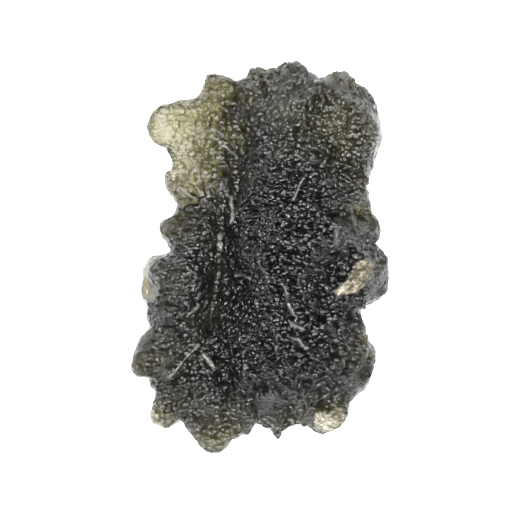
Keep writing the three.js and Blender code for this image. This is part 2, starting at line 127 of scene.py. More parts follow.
# Single long crests on the sculpted face, as plan points in millimetres with width, height and how
# much paler than glass their top is painted, as a painted highlight along the crest.
LONG_CRESTS = [
    ([(-3.3, 6.5), (-2.9, 6.0), (-2.8, 5.0), (-2.85, 3.6)], 0.18, 0.28, 0.20),
    ([(-5.0, 12.3), (-4.0, 11.8), (-3.4, 11.2), (-2.7, 10.5)], 0.14, 0.24, 0.15),
    ([(-5.9, 12.7), (-4.9, 12.9), (-3.9, 12.5)], 0.13, 0.19, 0.12),
    ([(-4.0, 2.4), (-3.95, 1.7), (-3.9, 1.0)], 0.16, 0.25, 0.18),
    ([(4.2, 8.0), (3.6, 6.8), (3.3, 5.8)], 0.13, 0.24, 0.15),
    ([(2.1, -2.2), (2.5, -3.4), (3.0, -5.0), (3.5, -5.6)], 0.13, 0.25, 0.15),
    ([(-2.5, -1.6), (-1.7, -1.65), (-0.9, -1.9)], 0.13, 0.24, 0.12),
    ([(0.0, -0.7), (0.5, -1.3), (0.9, -2.1)], 0.12, 0.22, 0.07),
    ([(3.1, -6.2), (4.1, -6.7)], 0.18, 0.25, 0.18),
    ([(3.1, -7.6), (3.8, -7.9), (4.3, -8.6)], 0.12, 0.24, 0.12),
    ([(1.6, -7.0), (1.5, -8.0), (1.5, -9.0)], 0.12, 0.21, 0.07),
    ([(-6.1, -8.5), (-7.4, -9.8), (-9.0, -11.6)], 0.17, 0.28, 0.18),
    ([(-5.6, -9.4), (-5.0, -10.1), (-4.4, -10.9)], 0.23, 0.29, 0.22),
    ([(-6.1, -4.6), (-7.0, -5.4)], 0.14, 0.25, 0.15),
    ([(-5.9, -3.4), (-6.2, -4.0)], 0.12, 0.22, 0.12),
    ([(-6.4, -2.4), (-6.6, -3.0)], 0.12, 0.22, 0.12),
    ([(-5.5, -13.5), (-6.0, -14.0)], 0.12, 0.22, 0.12),
    ([(3.4, 10.2), (4.5, 9.5), (5.7, 9.6), (6.3, 9.2)], 0.13, 0.24, 0.10),
    ([(-11.3, -0.8), (-10.6, -1.6), (-10.1, -2.7), (-10.2, -3.6), (-11.0, -4.2)], 0.12, 0.18, 0.08),
    ([(7.3, 3.2), (7.4, 2.2), (7.3, 1.4)], 0.17, 0.15, 0.06),
]

# How far a long crest strays from its line, and how often and how far it breaks off.
CREST_WANDER_SPACING_MM, CREST_WANDER_MM = 0.7, 0.12
CREST_BREAK_SPACING_MM, CREST_BREAK, CREST_WHOLE, CREST_LEAST = 0.45, 1.1, 0.95, 0.25

# Single deep furrows, as plan points in millimetres with width and depth.
DEEP_FURROWS = [
    ([(-3.3, 11.2), (-3.7, 8.0), (-4.0, 4.0), (-4.2, 0.5), (-4.5, -3.0), (-5.0, -7.4)], 0.50, 0.74),
    ([(-5.0, -7.4), (-4.3, -9.8), (-3.7, -12.2), (-3.4, -15.0)], 0.36, 0.33),
    ([(-5.4, -8.2), (-6.9, -10.1), (-8.6, -12.2)], 0.30, 0.27),
    ([(1.3, -0.6), (2.0, -3.0), (3.2, -6.0)], 0.34, 0.30),
    ([(3.8, -6.1), (6.6, -5.6), (9.8, -4.9)], 0.34, 0.30),
    ([(-8.4, 5.5), (-6.4, 5.5), (-4.6, 5.1)], 0.32, 0.30),
    ([(-9.0, 1.0), (-7.0, 1.0), (-5.0, 0.5)], 0.32, 0.30),
    ([(-9.6, -4.5), (-7.6, -4.3), (-5.6, -3.2)], 0.28, 0.24),
    ([(-11.2, -6.7), (-8.4, -7.0), (-6.0, -6.2)], 0.32, 0.30),
    ([(-10.6, -13.4), (-8.8, -12.6), (-7.2, -11.6)], 0.28, 0.27),
    ([(-8.1, -16.4), (-7.4, -14.6), (-6.4, -12.4)], 0.28, 0.27),
    ([(-0.4, -16.5), (-0.8, -14.4), (-0.6, -11.8)], 0.28, 0.27),
    ([(2.7, -16.8), (2.6, -14.2), (2.3, -11.8)], 0.28, 0.27),
    ([(8.8, -14.4), (7.5, -12.8), (6.2, -11.4)], 0.30, 0.27),
    ([(11.5, 1.75), (9.8, 2.0), (8.4, 2.5)], 0.30, 0.27),
    ([(10.6, 7.4), (9.2, 7.0), (7.8, 6.7)], 0.30, 0.27),
    ([(5.9, 18.2), (5.7, 16.4), (5.2, 14.2)], 0.30, 0.27),
    ([(0.5, 18.9), (0.5, 17.0), (0.4, 15.0)], 0.26, 0.24),
    ([(-2.6, 17.7), (-2.5, 16.0), (-2.3, 14.2)], 0.28, 0.27),
    ([(0.0, 10.9), (3.2, 9.4), (5.6, 8.9), (8.4, 8.7)], 0.32, 0.14),
]
# How far they stray from their lines, as pairs of spacing and reach.
DEEP_WANDERS_MM = [(1.4, 0.25), (0.6, 0.15)]

# The stone's outline in plan, clockwise from the tip of the pale sheet, in millimetres.
OUTLINE = [
    (-11.5, 13.4), (-11.2, 14.3), (-10.9, 15.0), (-9.7, 15.85), (-8.8, 15.85), (-8.2, 16.35),
    (-7.6, 16.2), (-6.5, 16.4), (-6.1, 16.9), (-5.7, 17.7), (-5.5, 18.6), (-4.6, 18.75),
    (-3.6, 18.65), (-3.0, 18.0), (-2.4, 17.8), (-1.3, 18.2), (-1.1, 19.1), (0.0, 19.45),
    (0.4, 19.05), (1.5, 19.15), (2.2, 19.8), (3.0, 19.7), (3.8, 19.95), (4.2, 19.5), (5.2, 18.9),
    (5.95, 18.35), (7.0, 18.7), (8.6, 19.0), (9.0, 18.9), (9.6, 17.9), (10.0, 17.5),
    (10.7, 17.55), (11.3, 16.5), (11.8, 15.3), (12.0, 14.3), (12.35, 13.0), (12.3, 12.0),
    (11.9, 11.2), (11.6, 9.6), (11.1, 7.8), (10.7, 7.4), (11.0, 6.2), (11.15, 5.5), (11.2, 4.6),
    (11.8, 4.1), (12.45, 3.2), (12.1, 2.2), (11.6, 1.75), (12.6, 1.0), (12.85, 0.2),
    (13.15, -2.0), (12.9, -3.2), (12.1, -4.0), (10.9, -4.6), (9.85, -5.0), (10.05, -5.3),
    (9.9, -6.05), (10.7, -7.1), (10.9, -7.9), (11.8, -9.1), (11.98, -9.7), (11.5, -10.5),
    (11.2, -11.2), (11.0, -12.5), (10.4, -13.1), (9.7, -13.7), (9.0, -14.2), (8.85, -14.5),
    (8.9, -15.0), (8.4, -16.5), (7.5, -17.4), (6.2, -17.65), (5.5, -17.7), (4.6, -17.1),
    (3.7, -16.8), (3.1, -16.85), (2.4, -17.4), (1.8, -18.2), (1.2, -17.6), (0.5, -16.9),
    (-0.4, -16.65), (-0.9, -17.6), (-1.1, -17.9), (-1.8, -17.85), (-2.3, -18.35), (-2.8, -18.3),
    (-3.4, -19.4), (-4.4, -19.85), (-5.5, -19.5), (-6.3, -18.9), (-6.5, -18.3), (-6.9, -18.2),
    (-7.5, -17.3), (-8.1, -16.55), (-9.0, -17.1), (-9.6, -17.35), (-10.9, -16.6),
    (-11.25, -15.5), (-10.8, -13.8), (-10.7, -13.3), (-11.4, -13.0), (-11.3, -12.0),
    (-12.6, -11.9), (-13.3, -10.9), (-13.0, -9.7), (-12.5, -8.2), (-11.7, -7.25), (-11.2, -6.9),
    (-11.3, -6.4), (-11.75, -5.5), (-11.5, -4.85), (-12.1, -4.2), (-12.35, -3.2), (-12.15, -1.7),
    (-12.25, -0.9), (-11.5, 0.2), (-10.9, 0.55), (-9.6, 0.55), (-9.05, 1.0), (-9.6, 1.8),
    (-10.25, 2.3), (-10.4, 3.4), (-9.9, 4.1), (-8.9, 4.45), (-8.4, 5.55), (-9.2, 6.4),
    (-9.6, 6.6), (-9.8, 8.3), (-9.5, 9.0), (-9.0, 9.2), (-9.05, 9.9), (-9.5, 11.0), (-10.0, 11.2),
    (-11.0, 11.5), (-11.4, 12.3),
]
# How softly the outline trims the form, how far it may fill it out, and over what depth.
OUTLINE_BLEND_MM = 0.55
MOST_FILLING_MM = 0.5
FILLING_REACH_MM = 1.0

# How thick the glass is where light shines through it, as x, y, reach and thickness in millimetres.
THICKNESSES = [
    (-7.0, 12.0, 3.0, 1.5), (-5.0, 14.4, 2.0, 1.5), (-3.8, 15.7, 2.0, 1.4),
    (-4.6, 12.4, 2.0, 1.5), (-4.5, 10.2, 1.8, 1.5), (-5.0, 8.4, 1.8, 1.75), (-5.4, 6.5, 1.7, 1.2),
    (-6.8, 6.6, 1.4, 1.6), (-9.2, 7.6, 1.4, 1.45), (-9.0, 6.7, 1.0, 1.25),
    (-11.6, -0.6, 1.2, 1.8), (-11.7, -2.6, 1.6, 1.6), (-10.9, -3.3, 1.3, 1.4),
    (-11.2, -4.1, 1.0, 1.7), (-13.0, -11.0, 1.2, 2.2), (-12.4, -9.6, 1.0, 2.4),
    (-10.9, -15.2, 1.5, 1.3), (-10.2, -16.2, 1.2, 1.45), (-4.6, -19.0, 1.6, 2.4),
    (10.9, 9.0, 1.0, 2.8), (10.4, 5.4, 1.4, 2.7), (11.3, -8.8, 1.0, 3.0),
]
# The least that is left of the modelled thickness anywhere.
LEAST_LEFT = 0.2
# Changes of thickness smaller than this are left out.
THICKNESS_SLACK_MM = 0.08

# Places where the skin is smoother, as x, y, reach in millimetres and what is left of the relief.
CALM_PLACES = [
    (-10.4, 13.7, 2.6, 0.45), (-11.8, -2.2, 2.4, 0.3), (-4.6, -19.0, 2.2, 0.5),
    (-11.0, -15.4, 1.8, 0.5), (12.3, -2.4, 2.2, 0.5), (1.4, -16.9, 1.8, 0.5), (-9.0, 7.8, 2.0, 0.6),
    (11.4, 13.4, 2.6, 0.6), (11.0, 9.2, 2.2, 0.55), (-6.4, 12.4, 5.0, 0.65),
]
# How much of the relief is left on the underside, and how soon it fades there.
UNDERSIDE_RELIEF, UNDERSIDE_FADE = 0.35, 2
# How much of it is left on the steep rim, and from how steep a skin, over what change.
RIM_RELIEF, RIM_FROM, RIM_OVER = 0.45, 0.8, 0.18

# Places with a frosted olive skin, as x, y, reach in millimetres and the share that scatters.
FROSTED_PLACES = [
    (7.6, 13.4, 5.6, 0.040), (11.0, 12.6, 3.4, 0.030), (3.4, 14.8, 5.0, 0.024),
    (-1.4, 15.6, 2.6, 0.030), (0.0, 17.6, 3.6, 0.022), (8.0, 17.6, 3.4, 0.022),
    (3.0, 11.0, 4.0, 0.014), (10.6, 7.4, 3.2, 0.034), (-3.4, 12.2, 3.0, 0.055),
    (-3.6, 9.2, 2.6, 0.030), (-4.0, 5.4, 2.0, 0.012), (10.2, 4.4, 3.0, 0.030),
    (12.0, -1.0, 2.8, 0.020), (10.6, -8.8, 3.4, 0.028), (-9.8, -10.4, 5.2, 0.028),
    (-7.0, -14.6, 4.4, 0.022), (-4.2, -16.4, 3.8, 0.022), (7.0, -15.0, 4.0, 0.018),
    (-8.2, 3.0, 3.2, 0.028), (-9.0, -2.6, 4.0, 0.018), (1.2, -16.4, 2.0, 0.010),
    (-6.6, -6.4, 3.6, 0.014), (-10.9, 13.6, 1.9, 0.008),
]
# Frost is thicker on what stands out: by how much, from what level, and at least how much.
FROST_PER_MM, FROST_LEVEL, FROST_LEAST = 1.2, 0.7, 0.4
# Places with a khaki crust, as x, y, reach in millimetres and how much of it there is.
STAINED_PLACES = [
    (-7.4, 13.6, 2.6, 0.9), (-5.6, 11.6, 3.0, 1.0), (-6.4, 9.0, 2.8, 1.0), (-5.4, 7.0, 2.0, 0.9),
    (-3.8, 15.6, 3.0, 1.0), (-3.4, 12.0, 3.0, 0.9), (-3.6, 8.6, 2.4, 0.8), (-8.4, 3.2, 2.2, 0.5),
    (-4.4, -16.8, 2.8, 0.4), (10.4, 8.8, 2.0, 0.6), (-9.6, -11.0, 3.0, 0.5),
]
# Places where the fine cobbles are weaker, as x, y, reach in millimetres and what is left of them.
PLAIN_PLACES = [
    (-10.2, 13.6, 2.8, 0.2), (-6.6, 12.0, 4.4, 0.45), (-6.2, 8.6, 3.6, 0.45), (-8.8, 7.6, 2.2, 0.3),
    (-11.8, -2.2, 2.4, 0.2), (-4.6, -19.0, 2.6, 0.3), (-11.0, -15.4, 2.0, 0.3),
    (12.6, -2.4, 2.4, 0.3), (1.4, -17.0, 1.8, 0.4), (11.8, 13.6, 2.4, 0.4), (-4.0, 2.0, 6.0, 0.8),
    (-7.6, -5.0, 8.0, 0.7), (-3.7, 7.0, 1.2, 0.3), (-3.9, 4.4, 1.2, 0.3), (-4.1, 1.4, 1.2, 0.3),
    (-4.4, -1.8, 1.2, 0.3), (-4.7, -5.0, 1.2, 0.3), (2.4, 14.2, 4.8, 0.5), (7.8, 13.4, 4.0, 0.6),
]
# What is left of the cobbles on the sides, and how fast they come back as the skin faces up.
COBBLE_ASIDE, COBBLE_UPRIGHT = 0.3, 1.4

# The two rough tan chips on the right, as plan outlines in millimetres.
CHIPS = [
    [(7.3, -3.3), (8.2, -2.4), (8.8, -1.4), (9.3, -0.6), (9.8, -0.1), (10.8, -0.1), (11.1, -0.7),
     (10.8, -1.7), (10.2, -2.6), (9.4, -3.2), (8.5, -3.5)],
    [(5.4, -16.3), (5.6, -15.3), (6.2, -15.1), (7.0, -15.3), (7.6, -14.7), (8.2, -14.9),
     (8.4, -15.7), (8.2, -16.3), (7.6, -16.8), (7.0, -17.3), (6.2, -17.2), (5.6, -16.9)],
]
CHIP_EDGE_MM = 0.18
# How ragged that edge is, as pairs of spacing and reach.
CHIP_RAGS_MM = [(0.5, 0.16), (0.2, 0.08)]
# The chips' striations, by their direction in plan, spacing across and along, height and level.
STRIATION_DEGREES, STRIATION_ACROSS_MM, STRIATION_ALONG_MM = 50, 0.22, 1.3
STRIATION_HEIGHT_MM, STRIATION_LEVEL_MM = 0.07, 0.05
# How far down the sides their colour reaches, and how soon it ends there.
CHIP_SIDE, CHIP_SIDE_GAIN = 0.15, 4
# The chip above this line, in millimetres, is streaked along its length. The lower one is not.
CHIP_STREAKS_ABOVE_Y = -8
# Paler and darker places on the chips, as x, y, reach in millimetres and the change of tone.
CHIP_TONES = [
    (7.8, -3.1, 0.45, 0.45), (9.0, -1.6, 0.9, -0.22), (10.4, -1.2, 0.8, -0.20),
    (6.1, -16.2, 0.8, 0.28), (7.0, -16.7, 0.6, 0.18), (7.55, -15.3, 0.34, -0.55),
]

# ---------- Procedural fields ----------

TINY, SMALL, FAR = 1e-6, 1e-3, 1e9
LATTICE = 64
# Seeds of the random draws. A field that draws more than once counts on from its seed.
SEED_LUMPS, SEED_CUPS, SEED_FURROWS, SEED_BEADS, SEED_WARP = 3, 5, 7, 9, 11
SEED_STRIATIONS, SEED_CHIP_EDGE, SEED_DEEP_FURROWS, SEED_CREST_WANDER, SEED_CREST_BREAK = (
    21, 31, 41, 51, 52
)


def smooth_noise(points, spacing, seed):
    """Smooth noise from about -1 to 1 at points in millimetres."""
    table = np.random.default_rng(seed).uniform(-1, 1, LATTICE**3).astype(np.float32)
    scaled = points * np.float32(1 / spacing)
    cell = np.floor(scaled)
    part = scaled - cell
    part = part * part * (3 - 2 * part)
    low = cell.astype(np.int32) & (LATTICE - 1)
    high = (low + 1) & (LATTICE - 1)
    rows = [(side[:, 0] * LATTICE**2, side[:, 1] * LATTICE, side[:, 2]) for side in (low, high)]
    total = 0
    for ends in np.ndindex(2, 2, 2):
        index = rows[ends[0]][0] + rows[ends[1]][1] + rows[ends[2]][2]
        share = 1
        for axis in range(3):
            share = share * (part[:, axis] if ends[axis] else 1 - part[:, axis])
        total = total + share * table[index]
    return total


def cell_distances(points, spacing, seed, along, stretch):
    """Distances to the nearest and the second nearest of scattered points, in cell units.
    Distances along a direction count less by the stretch, which draws the cells out that way."""
    scatter = np.random.default_rng(seed).uniform(0, 1, (LATTICE**3, 3)).astype(np.float32)
    scaled = points * np.float32(1 / spacing)
    cell = np.floor(scaled)
    part = scaled - cell
    cell = cell.astype(np.int32)
    sides = [(cell + step) & (LATTICE - 1) for step in (-1, 0, 1)]
    nearest = np.full(len(points), 9, np.float32)
    second = nearest.copy()
    for step in np.ndindex(3, 3, 3):
        index = sides[step[0]][:, 0] * LATTICE**2 + sides[step[1]][:, 1] * LATTICE
        gap = scatter[index + sides[step[2]][:, 2]]
        gap += np.array(step, np.float32) - 1
        gap -= part
        distance = np.einsum("ij,ij->i", gap, gap)
        distance -= np.einsum("ij,ij->i", gap, along) ** 2 * (1 - stretch**2)
        np.minimum(second, np.maximum(nearest, distance), out=second)
        np.minimum(nearest, distance, out=nearest)
    return np.sqrt(np.maximum(nearest, 0)), np.sqrt(np.maximum(second, 0))


def distance_to_line(x, y, line):
    """Plan distance from each x, y to a line of points."""
    best = np.full(x.shape, FAR, np.float32)
    for (x0, y0), (x1, y1) in zip(line[:-1], line[1:]):
        dx, dy = x1 - x0, y1 - y0
        along = np.clip(((x - x0) * dx + (y - y0) * dy) / (dx * dx + dy * dy), 0, 1)
        best = np.minimum(best, np.hypot(x - x0 - along * dx, y - y0 - along * dy))
    return best


def inside_outline(x, y, outline):
    """True where a plan point lies inside a closed outline."""
    inside = np.zeros(x.shape, bool)
    for (x0, y0), (x1, y1) in zip(outline, outline[1:] + outline[:1]):
        crosses = (y0 > y) != (y1 > y)
        with np.errstate(divide="ignore", invalid="ignore"):
            where = (x1 - x0) * (y - y0) / (y1 - y0) + x0
        inside ^= crosses & (x < where)
    return inside


def in_plan(x, y):
    """Points at x, y and no height."""
    return np.stack([x, y, np.zeros_like(x)], 1)


def layered_noise(points, layers, first_seed):
    """Smooth noise in layers, each with its spacing and reach."""
    return sum(
        smooth_noise(points, spacing, first_seed + number) * reach
        for number, (spacing, reach) in enumerate(layers)
    )


def nearness(x, y, place_x, place_y, reach):
    """From 1 at a place down to 0 far from it, along a bell curve."""
    return np.exp(-((x - place_x) ** 2 + (y - place_y) ** 2) / (2 * reach**2))


def chip_share(x, y):
    """From 0 outside the tan chips to 1 inside them, with a ragged edge."""
    ragged = layered_noise(in_plan(x, y), CHIP_RAGS_MM, SEED_CHIP_EDGE)
    share = np.zeros(x.shape, np.float32)
    for outline in CHIPS:
        distance = distance_to_line(x, y, outline + outline[:1])
        signed = np.where(inside_outline(x, y, outline), distance, -distance) + ragged
        share = np.maximum(share, np.clip(signed / CHIP_EDGE_MM + 0.5, 0, 1))
    return share


def flow_in_plan(x, y):
    """The furrows' direction in plan, as unit vectors."""
    double_cos = np.zeros(x.shape, np.float32)
    double_sin = np.zeros(x.shape, np.float32)
    for guide_x, guide_y, degrees in FLOW:
        weight = nearness(x, y, guide_x, guide_y, FLOW_REACH_MM) + TINY
        doubled = 2 * math.radians(degrees)
        double_cos += weight * math.cos(doubled)
        double_sin += weight * math.sin(doubled)
    angle = np.arctan2(double_sin, double_cos) / 2
    return np.cos(angle), np.sin(angle)


# ---------- The stone's form ----------


def blurred(values, radius, passes):
    """A box blur along each axis, which comes close to a Gaussian after three passes."""
    width = 2 * radius + 1
    for _ in range(passes):
        for axis in [axis for axis in range(3) if values.shape[axis] > 1]:
            pad = [(0, 0)] * 3
            pad[axis] = (radius + 1, radius)
            summed = np.cumsum(np.pad(values, pad, mode="edge"), axis=axis, dtype=np.float64)
            upper = np.take(summed, range(width, summed.shape[axis]), axis=axis)
            lower = np.take(summed, range(0, summed.shape[axis] - width), axis=axis)
            values = ((upper - lower) / width).astype(np.float32)
    return values


def softened(values):
    """Takes out what is finer than the grid can hold."""
    for axis in range(3):
        values = values / 2 + (np.roll(values, 1, axis) + np.roll(values, -1, axis)) / 4
    return values.astype(np.float32)


def sampled_solid(node):
    """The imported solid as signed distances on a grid, with the grid's lowest corner."""
    mesh = node.data
    points = np.empty(len(mesh.vertices) * 3, np.float32)
    mesh.vertices.foreach_get("co", points)
    points = points.reshape(-1, 3) / MM
    mesh.calc_loop_triangles()
    triangles = np.empty(len(mesh.loop_triangles) * 3, np.int32)
    mesh.loop_triangles.foreach_get("vertices", triangles)
    grid = openvdb.FloatGrid.createLevelSetFromPolygons(
        points,
        triangles=triangles.reshape(-1, 3).astype(np.uint32),
        transform=openvdb.createLinearTransform(voxelSize=VOXEL_MM),
        halfWidth=BAND_MM / VOXEL_MM,
    )
    lowest, highest = grid.evalActiveVoxelBoundingBox()
    start = tuple(low - MARGIN_CELLS for low in lowest)
    shape = [high - low + 1 + 2 * MARGIN_CELLS for low, high in zip(lowest, highest)]
    values = np.empty(shape, np.float32)
    grid.copyToArray(values, ijk=start)
    return values, np.array(start) * VOXEL_MM


def skin_directions(values, index):
    """Outward directions of the form at grid points."""
    normal = np.zeros((len(index), 3), np.float32)
    for axis in range(3):
        step = np.zeros(3, int)
        step[axis] = SLOPE_CELLS
        ahead = values[tuple(np.minimum(index + step, np.array(values.shape) - 1).T)]
        behind = values[tuple(np.maximum(index - step, 0).T)]
        normal[:, axis] = ahead - behind
    return normal / np.maximum(np.linalg.norm(normal, axis=1, keepdims=True), TINY)


def furrow_field(points, flow, seed):
    """Noise drawn out along the flow, so that its crests are long furrow walls."""
    total = np.zeros(len(points), np.float32)
    for step in range(FURROW_STEPS):
        offset = (step / (FURROW_STEPS - 1) - 0.5) * FURROW_LENGTH_MM
        total += smooth_noise(points + flow * offset, FURROW_SPACING_MM, seed)
    return total / math.sqrt(FURROW_STEPS) * FURROW_GAIN


def crest_share(x, y, line, width):
    """From 0 beside a long crest to 1 on its flat top."""
    place = in_plan(x, y)
    wander = smooth_noise(place, CREST_WANDER_SPACING_MM, SEED_CREST_WANDER) * CREST_WANDER_MM
    distance = distance_to_line(x + wander, y - wander, line)
    breaks = smooth_noise(place, CREST_BREAK_SPACING_MM, SEED_CREST_BREAK) * CREST_BREAK
    return np.exp(-((distance / width) ** 4)) * np.clip(CREST_WHOLE + breaks, CREST_LEAST, 1)


def share_left(x, y, places):
    """What is left of something at x, y, where each place leaves only a share of it."""
    left = np.ones(x.shape, np.float32)
    for place_x, place_y, reach, share in places:
        left *= 1 - (1 - share) * nearness(x, y, place_x, place_y, reach / 2)
    return left


def share_put(x, y, places):
    """How much of something lies at x, y, where each place brings a share of it."""
    put = np.zeros(x.shape, np.float32)
    for place_x, place_y, reach, share in places:
        put = np.maximum(put, nearness(x, y, place_x, place_y, reach / 2) * share)
    return put


def facing_up(normal, start=0.0):
    """From 0 on the sides and the underside to 1 where the skin faces up."""
    return np.clip(normal[:, 2] * FACING_GAIN + start, 0, 1)


def flow_on_skin(x, y, normal):
    """The furrows' direction along the skin, which turns downhill on the stone's sides."""
    flow_x, flow_y = flow_in_plan(x, y)
    outward = np.sign(flow_x * normal[:, 0] + flow_y * normal[:, 1] + TINY)
    steep = np.hypot(normal[:, 0], normal[:, 1])
    flow = np.stack([flow_x * outward, flow_y * outward, -steep * FLOW_FALL], 1)
    flow -= normal * np.einsum("ij,ij->i", flow, normal)[:, None]
    return flow / np.maximum(np.linalg.norm(flow, axis=1, keepdims=True), SMALL)


def striated(points):
    """The striated surface of a chip, in millimetres."""
    turn = math.radians(STRIATION_DEGREES)
    along = points[:, 0] * math.cos(turn) + points[:, 1] * math.sin(turn)
    across = -points[:, 0] * math.sin(turn) + points[:, 1] * math.cos(turn)
    sides = [across / STRIATION_ACROSS_MM, along / STRIATION_ALONG_MM]
    sides.append(points[:, 2] / STRIATION_ALONG_MM)
    noise = smooth_noise(np.stack(sides, 1), 1.0, SEED_STRIATIONS)
    return noise * STRIATION_HEIGHT_MM + STRIATION_LEVEL_MM


def etched_relief(points, normal):
    """How far the etched skin stands out, in millimetres."""
    x, y = points[:, 0], points[:, 1]
    flow = flow_on_skin(x, y, normal)
    lumps = smooth_noise(points, LUMP_SPACING_MM, SEED_LUMPS) * LUMP_HEIGHT_MM

    warp = [smooth_noise(points, WARP_SPACING_MM, SEED_WARP + axis) for axis in range(3)]
    warp = np.stack(warp, 1) * WARP_MM
    near, _ = cell_distances(points + warp, CUP_SPACING_MM, SEED_CUPS, flow, CUP_STRETCH)
    cups = (np.clip(near, 0, 1) ** 2 - CUP_LEVEL) * CUP_HEIGHT_MM

    # Furrow walls are thin crests on the left half and broad rows on the back.
    drawn = furrow_field(points + warp * FURROW_WARP, flow, SEED_FURROWS)
    beaded = np.clip((x - BEADED_FROM_X) / BEADED_OVER_MM, 0, 1)
    rowed = beaded * np.clip((ROWED_BELOW_Y - y) / ROWED_OVER_MM, 0, 1)
    walls = np.clip(1 - np.abs(drawn) * WALL_NARROWNESS, 0, 1) ** WALL_SHARPNESS - WALL_LEVEL
    rows = np.clip(0.5 + drawn * ROW_CONTRAST, 0, 1)
    broad = (rows - 0.5) * (ROW_LEAST + ROW_MORE * rowed)
    furrows = (walls * (1 - beaded) + broad * beaded) * FURROW_HEIGHT_MM

    # Beads are highest on the granular top, and lowest between the rows.
    places = points + warp * BEAD_WARP
    near, second = cell_distances(places, BEAD_SPACING_MM, SEED_BEADS, flow, BEAD_STRETCH)
    beads = np.sqrt(1 - (1 - np.clip((second - near) / BEAD_REACH, 0, 1)) ** 2)
    stand = BEAD_LEAST + BEAD_MORE * beaded - BEAD_LESS * rowed - BEAD_LESS * rowed * (1 - rows)
    relief = lumps + cups + furrows + (beads - 0.5) * stand * BEAD_HEIGHT_MM

    face = facing_up(normal)
    for line, width, height, _ in LONG_CRESTS:
        relief += crest_share(x, y, line, width) * height * face
    around = facing_up(normal, 0.5)
    wander = layered_noise(points, DEEP_WANDERS_MM, SEED_DEEP_FURROWS)
    for line, width, depth in DEEP_FURROWS:
        distance = distance_to_line(x + wander, y + wander, line)
        relief -= np.exp(-((distance / width) ** 2)) * depth * around

    left = np.clip(1 + normal[:, 2] * UNDERSIDE_FADE, UNDERSIDE_RELIEF, 1)
    left *= share_left(x, y, CALM_PLACES)
    steep = np.hypot(normal[:, 0], normal[:, 1])
    left *= 1 - (1 - RIM_RELIEF) * np.clip((steep - RIM_FROM) / RIM_OVER, 0, 1)
    chip = chip_share(x, y) * face
    return relief * left * (1 - chip) + (lumps + striated(points)) * chip


def plan_distance(inside):
    """Signed plan distance to the edge of a mask, over zero inside, in millimetres."""
    edge = np.zeros(inside.shape, bool)
    edge[1:] |= inside[1:] != inside[:-1]
    edge[:, 1:] |= inside[:, 1:] != inside[:, :-1]
    marks = np.argwhere(edge).astype(np.float32) - 0.5
    places = np.argwhere(np.ones(inside.shape, bool)).astype(np.float32)
    nearest = np.full(len(places), FAR, np.float32)
    for mark in marks:
        gap = places - mark
        np.minimum(nearest, gap[:, 0] ** 2 + gap[:, 1] ** 2, out=nearest)
    distance = np.sqrt(nearest).reshape(inside.shape) * VOXEL_MM
    return np.where(inside, distance, -distance)


def soft_max(a, b, width):
    """The larger of two values, rounded where they meet."""
    share = np.clip(0.5 + 0.5 * (a - b) / width, 0, 1)
    return b + (a - b) * share + width * share * (1 - share)


def fitted_to_outline(values, corner):
    """Trims and fills the form so that its plan view follows the outline."""
    plan_x = corner[0] + np.arange(values.shape[0]) * VOXEL_MM
    plan_y = corner[1] + np.arange(values.shape[1]) * VOXEL_MM
    x, y = (side.ravel().astype(np.float32) for side in np.meshgrid(plan_x, plan_y, indexing="ij"))
    outline = distance_to_line(x, y, OUTLINE + OUTLINE[:1])
    outline = np.where(inside_outline(x, y, OUTLINE), outline, -outline)
    outline = outline.reshape(values.shape[:2])
    form = plan_distance(values.min(axis=2) < 0)
    missing = np.clip(outline - form, 0, MOST_FILLING_MM)
    missing *= np.exp(-((form / FILLING_REACH_MM) ** 2))
    missing = blurred(missing[:, :, None], radius=1, passes=2)
    return soft_max(values - missing, -outline[:, :, None], OUTLINE_BLEND_MM)


def fitted_to_thickness(values, corner):
    """Cuts the underside so that the glass is no thicker than its tone in the light asks for."""
    inside = values < 0
    solid = inside.any(axis=2).astype(np.float32)
    lowest = inside.argmax(axis=2)
    highest = inside.shape[2] - 1 - inside[:, :, ::-1].argmax(axis=2)
    near = np.maximum(blurred(solid[:, :, None], radius=2, passes=2), SMALL)
    floor = blurred((lowest * solid)[:, :, None].astype(np.float32), radius=2, passes=2)
    floor = floor / near * VOXEL_MM
    depth = (highest - lowest) * solid * VOXEL_MM
    plan_x = corner[0] + np.arange(values.shape[0])[:, None] * VOXEL_MM
    plan_y = corner[1] + np.arange(values.shape[1])[None, :] * VOXEL_MM
    wanted = depth.copy()
    for place_x, place_y, reach, thickness in THICKNESSES:
        near_place = nearness(plan_x, plan_y, place_x, place_y, reach / 2)
        wanted += (thickness - wanted) * near_place
    wanted = np.clip(wanted, depth * LEAST_LEFT, depth)
    rise = ((depth - wanted) * solid)[:, :, None].astype(np.float32)
    rise = blurred(rise, radius=1, passes=2)
    height = np.arange(values.shape[2])[None, None, :] * VOXEL_MM
    below = floor + rise - height
    thinner = np.maximum(values, below - THICKNESS_SLACK_MM)
    return np.where(rise > THICKNESS_SLACK_MM, thinner, values).astype(np.float32)


def carved_form(node):
    """The stone with its etched skin, as signed distances on a grid."""
    values, corner = sampled_solid(node)
    values = blurred(values, radius=3, passes=2)
    values = fitted_to_outline(values, corner)
    values = fitted_to_thickness(values, corner)
    index = np.argwhere(np.abs(values) < RELIEF_REACH_MM)
    points = (index * VOXEL_MM + corner).astype(np.float32)
    values[tuple(index.T)] -= etched_relief(points, skin_directions(values, index))
    values = softened(values)

    # The stone keeps the flats on which it lies.
    height = corner[2] + np.arange(values.shape[2]) * VOXEL_MM
    values = np.maximum(values, -height[None, None, :].astype(np.float32))
    return values, corner


def largest_body(points, quads):
    """The quads of the largest connected body."""
    label = np.arange(len(points))
    while True:
        lowest = label[quads].min(axis=1)
        lowered = label.copy()
        for corner in range(4):
            np.minimum.at(lowered, quads[:, corner], lowest)
        lowered = lowered[lowered]
        if np.array_equal(lowered, label):
            break
        label = lowered
    names, counts = np.unique(label[quads[:, 0]], return_counts=True)
    return quads[label[quads[:, 0]] == names[np.argmax(counts)]]


